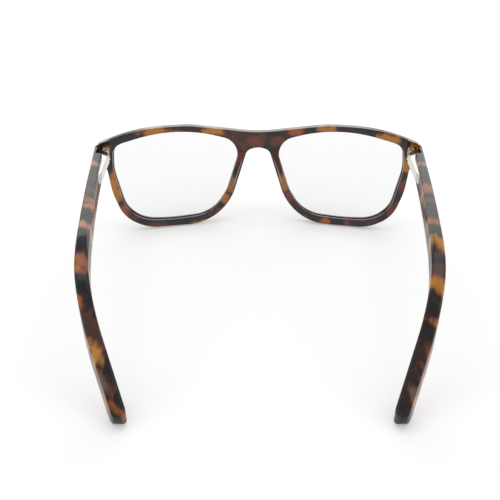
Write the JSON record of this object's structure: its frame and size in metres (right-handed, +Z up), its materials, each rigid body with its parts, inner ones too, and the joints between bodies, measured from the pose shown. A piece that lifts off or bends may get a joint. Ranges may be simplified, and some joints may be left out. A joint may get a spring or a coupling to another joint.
{
  "type": "eyeglasses frame",
  "caption": "Full-rim acetate eyeglasses with clear lenses, a saddle bridge, glued nose pads and temples that fold on spring hinges.",
  "frame": {"origin": "on the table under the middle of the open frame, centre of the bounding box's base", "axes": "+Y is where the wearer looks, +X the wearer's right, +Z up; rims and temple tips stand on z = 0"},
  "size_m": [0.1428, 0.1426, 0.0479],
  "materials": {
    "front_acetate": "polished tortoiseshell-pattern cellulose acetate",
    "temple_acetate": "polished tortoiseshell-pattern cellulose acetate",
    "nose_pad_acetate": "polished tortoiseshell-pattern cellulose acetate",
    "lens": "clear polished demo lens",
    "hinge_metal": "polished nickel silver",
    "screw_steel": "turned steel",
    "spring_steel": "drawn wire",
    "core_steel": "drawn wire"
  },
  "bodies": {
    "front": {"frame_front": "front_acetate", "right_lens": "lens", "right_nose_pad": "nose_pad_acetate", "right_hinge_plate": "hinge_metal", "right_hinge_screw": "screw_steel", "left_lens": "lens", "left_nose_pad": "nose_pad_acetate", "left_hinge_plate": "hinge_metal", "left_hinge_screw": "screw_steel"},
    "right_slider": {"right_slider": "hinge_metal", "right_slider_nut": "screw_steel", "right_spring": "spring_steel"},
    "right_temple": {"right_temple": "temple_acetate", "right_temple_core": "core_steel", "right_spring_housing": "hinge_metal"},
    "left_slider": {"left_slider": "hinge_metal", "left_slider_nut": "screw_steel", "left_spring": "spring_steel"},
    "left_temple": {"left_temple": "temple_acetate", "left_temple_core": "core_steel", "left_spring_housing": "hinge_metal"}
  },
  "joints": [
    {"name": "right_temple_fold", "type": "hinge", "parent": "front", "child": "right_slider", "pos_m": [0.0672, 0.05127, 0.03953], "axis": [0, 0, -1], "range_deg": [0, 62]},
    {"name": "right_spring_slide", "type": "slide", "parent": "right_slider", "child": "right_temple", "axis": [-0.0732, -0.9973, 0], "range_m": [0, 0.0018], "stiffness_N_per_m": 1500, "springref_m": -0.001, "deforming": ["right_spring"]},
    {"name": "left_temple_fold", "type": "hinge", "parent": "front", "child": "left_slider", "pos_m": [-0.0672, 0.05127, 0.03953], "axis": [0, 0, 1], "range_deg": [0, 77]},
    {"name": "left_spring_slide", "type": "slide", "parent": "left_slider", "child": "left_temple", "axis": [0.0732, -0.9973, 0], "range_m": [0, 0.0018], "stiffness_N_per_m": 1500, "springref_m": -0.001, "deforming": ["left_spring"]}
  ]
}
